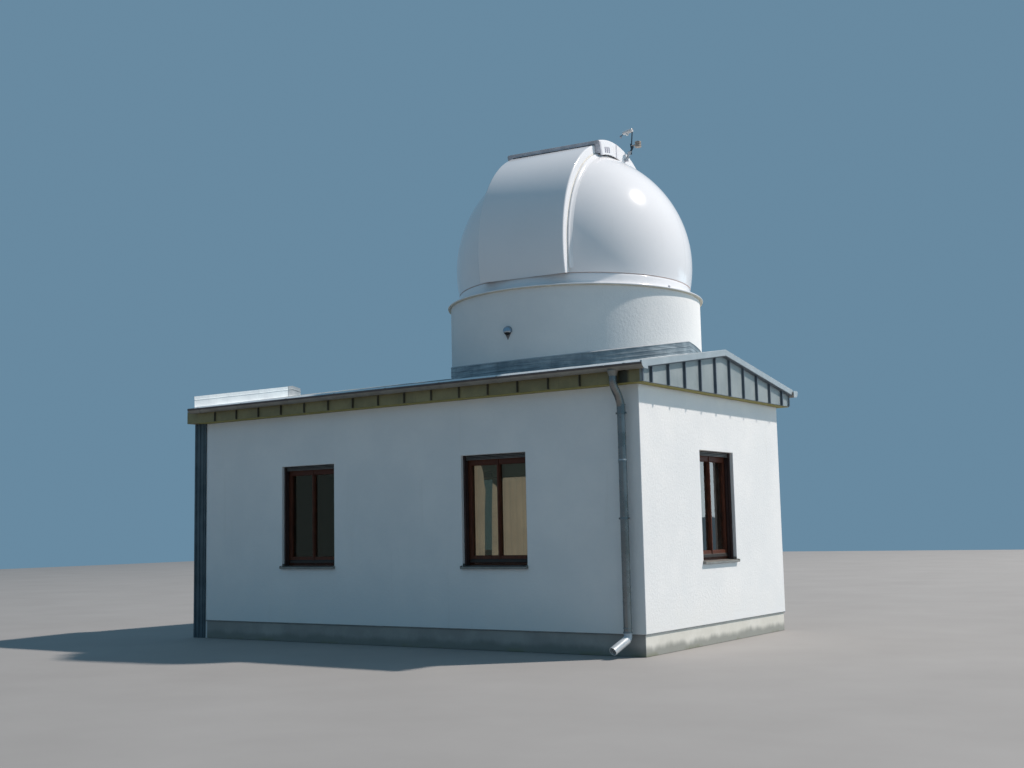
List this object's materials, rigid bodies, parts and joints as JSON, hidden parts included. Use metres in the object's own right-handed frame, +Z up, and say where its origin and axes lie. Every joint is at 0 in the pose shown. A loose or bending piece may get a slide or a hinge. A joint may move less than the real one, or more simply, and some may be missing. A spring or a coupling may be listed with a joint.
{
  "type": "observatory dome building",
  "caption": "Small rendered observatory house with a low zinc roof, a round drum, a turning white dome with a two-piece sliding shutter, gutters, downpipes and brown windows.",
  "frame": {"origin": "on the ground, on the dome's vertical axis, at the underside of the floor slab", "axes": "+Z up, +X along the house towards the free gable, -Y towards the front long wall"},
  "size_m": [6.99, 4.319, 6.3985],
  "materials": {
    "render": "white fine-grained wall render",
    "plinth": "grey cement plinth render",
    "concrete": "bare concrete",
    "zinc": "weathered zinc sheet",
    "trim": "bright zinc sheet edge",
    "dark_zinc": "dark coated sheet",
    "gelcoat": "glossy white gelcoat",
    "steel": "stainless sheet",
    "joinery": "dark red-brown stained joinery",
    "glass": "insulating glass",
    "mast": "dark painted tube",
    "sensor": "weathered grey-brown housing"
  },
  "bodies": {
    "house": {"floor_slab": "concrete", "plinth": "plinth", "front_wall": "render", "rear_wall": "render", "gable_wall": "render", "party_wall": "render", "ceiling_slab": "concrete", "front_window_1_frame": "joinery", "front_window_1_glass": "glass", "front_window_2_frame": "joinery", "front_window_2_glass": "glass", "rear_window_1_frame": "joinery", "rear_window_1_glass": "glass", "rear_window_2_frame": "joinery", "rear_window_2_glass": "glass", "gable_window_frame": "joinery", "gable_window_glass": "glass", "front_roof_slope": "zinc", "front_eaves": "zinc", "front_end_strip": "dark_zinc", "rear_roof_slope": "zinc", "rear_eaves": "zinc", "rear_end_strip": "dark_zinc", "gable_cladding": "zinc", "verge_trim": "trim", "abutment_flashing": "trim", "front_gutter": "zinc", "front_downpipe": "zinc", "rear_gutter": "zinc", "rear_downpipe": "zinc", "drum_wall_1": "render", "drum_wall_2": "render", "drum_wall_3": "render", "drum_wall_4": "render", "drum_collar": "zinc", "vent_hood": "steel", "ring_flashing": "gelcoat"},
    "dome": {"dome_foot_ring": "gelcoat", "dome_shell_left": "gelcoat", "dome_shell_right": "gelcoat", "slit_rail_left": "gelcoat", "slit_rail_right": "gelcoat"},
    "front_shutter": {"front_shutter": "gelcoat"},
    "upper_shutter": {"upper_shutter": "gelcoat", "weather_mast": "mast", "weather_sensor": "sensor"}
  },
  "joints": [
    {"name": "dome_turn", "type": "hinge", "parent": "house", "child": "dome", "pos_m": [0, 0, 4.56], "axis": [0, 0, 1], "continuous": true},
    {"name": "front_shutter_slide", "type": "hinge", "parent": "dome", "child": "front_shutter", "pos_m": [0, 0, 4.56], "axis": [-0.9925, -0.1219, 0], "range_deg": [0, 117]},
    {"name": "upper_shutter_slide", "type": "hinge", "parent": "dome", "child": "upper_shutter", "pos_m": [0, 0, 4.56], "axis": [-0.9925, -0.1219, 0], "range_deg": [0, 66]}
  ]
}
